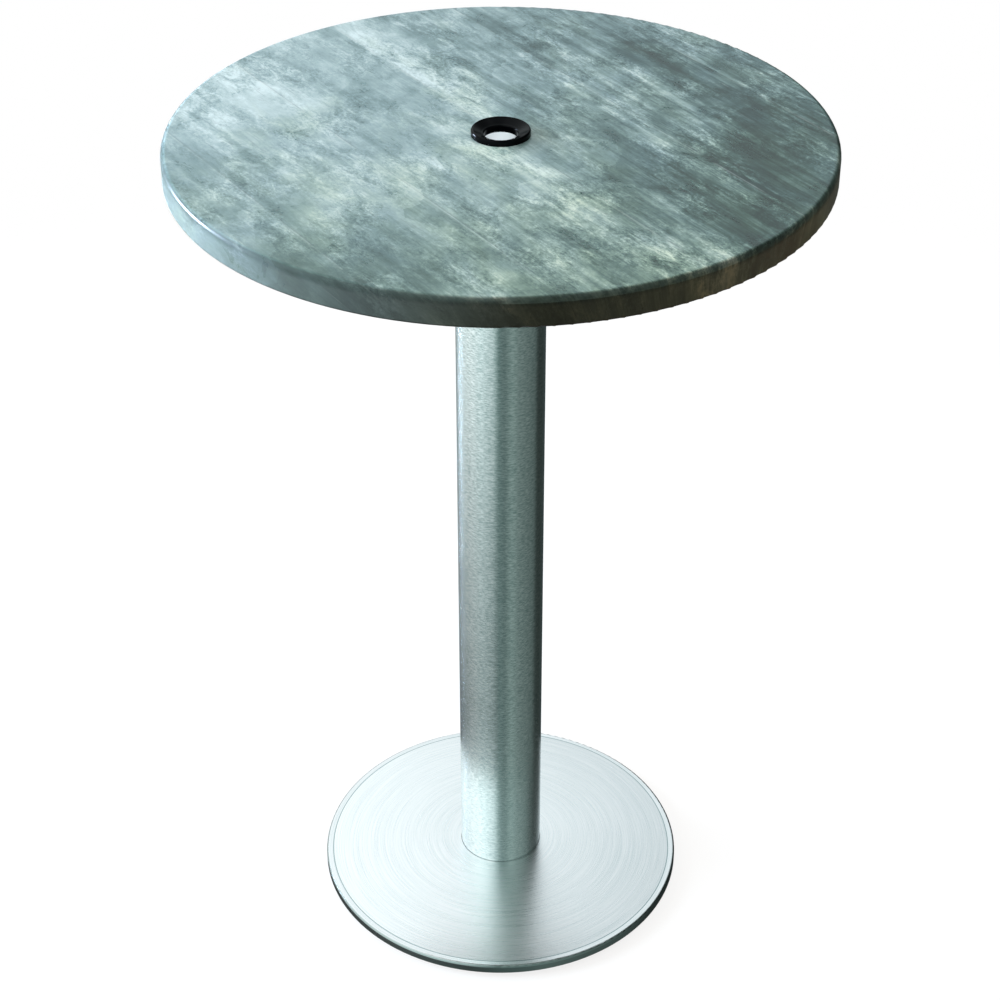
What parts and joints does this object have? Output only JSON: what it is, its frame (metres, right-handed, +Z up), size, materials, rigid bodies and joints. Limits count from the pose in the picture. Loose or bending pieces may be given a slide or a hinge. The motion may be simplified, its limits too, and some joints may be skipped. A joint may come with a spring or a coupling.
{
  "type": "bar-height pedestal table",
  "caption": "Round bar-height garden table: moulded grey top with an umbrella ring on a brushed stainless column and domed disc base with levelling glides.",
  "frame": {"origin": "on the floor, under the middle of the base", "axes": "+Z up along the column; the picture looks along +Y, with +X to its right"},
  "size_m": [0.762, 0.762, 1.092],
  "materials": {
    "printed_resin": "satin",
    "black_plastic": "gloss",
    "insert_brass": "satin",
    "black_steel": "matte",
    "plated_steel": "satin",
    "brushed_stainless": "satin",
    "turned_stainless": "satin",
    "nylon": "matte"
  },
  "bodies": {
    "table": {"table_top": "printed_resin", "umbrella_ring": "black_plastic", "top_inserts": "insert_brass", "mounting_spider": "black_steel", "top_washers": "plated_steel", "top_screws": "plated_steel", "spider_screws": "plated_steel", "upper_flange": "black_steel", "column": "brushed_stainless", "foot_flange": "black_steel", "base_cover": "turned_stainless", "ballast_plate": "black_steel", "base_screws": "plated_steel"},
    "pad_1": {"glide_pad_1": "nylon"},
    "stem_1": {"glide_stem_1": "plated_steel"},
    "pad_2": {"glide_pad_2": "nylon"},
    "stem_2": {"glide_stem_2": "plated_steel"},
    "pad_3": {"glide_pad_3": "nylon"},
    "stem_3": {"glide_stem_3": "plated_steel"},
    "pad_4": {"glide_pad_4": "nylon"},
    "stem_4": {"glide_stem_4": "plated_steel"}
  },
  "joints": [
    {"name": "glide_1_travel", "type": "slide", "parent": "table", "child": "pad_1", "axis": [0, 0, 1], "range_m": [-0.008, 0]},
    {"name": "glide_1_turn", "type": "hinge", "parent": "pad_1", "child": "stem_1", "pos_m": [0.13103, 0.13103, 0.01], "axis": [0, 0, 1], "range_deg": [-1920, 0]},
    {"name": "glide_2_travel", "type": "slide", "parent": "table", "child": "pad_2", "axis": [0, 0, 1], "range_m": [-0.008, 0]},
    {"name": "glide_2_turn", "type": "hinge", "parent": "pad_2", "child": "stem_2", "pos_m": [-0.13103, 0.13103, 0.01], "axis": [0, 0, 1], "range_deg": [-1920, 0]},
    {"name": "glide_3_travel", "type": "slide", "parent": "table", "child": "pad_3", "axis": [0, 0, 1], "range_m": [-0.008, 0]},
    {"name": "glide_3_turn", "type": "hinge", "parent": "pad_3", "child": "stem_3", "pos_m": [-0.13103, -0.13103, 0.01], "axis": [0, 0, 1], "range_deg": [-1920, 0]},
    {"name": "glide_4_travel", "type": "slide", "parent": "table", "child": "pad_4", "axis": [0, 0, 1], "range_m": [-0.008, 0]},
    {"name": "glide_4_turn", "type": "hinge", "parent": "pad_4", "child": "stem_4", "pos_m": [0.13103, -0.13103, 0.01], "axis": [0, 0, 1], "range_deg": [-1920, 0]}
  ],
  "couplings": [
    {"joint": "glide_1_travel", "follows": "glide_1_turn", "m_per_rad": 0.00023873},
    {"joint": "glide_2_travel", "follows": "glide_2_turn", "m_per_rad": 0.00023873},
    {"joint": "glide_3_travel", "follows": "glide_3_turn", "m_per_rad": 0.00023873},
    {"joint": "glide_4_travel", "follows": "glide_4_turn", "m_per_rad": 0.00023873}
  ]
}
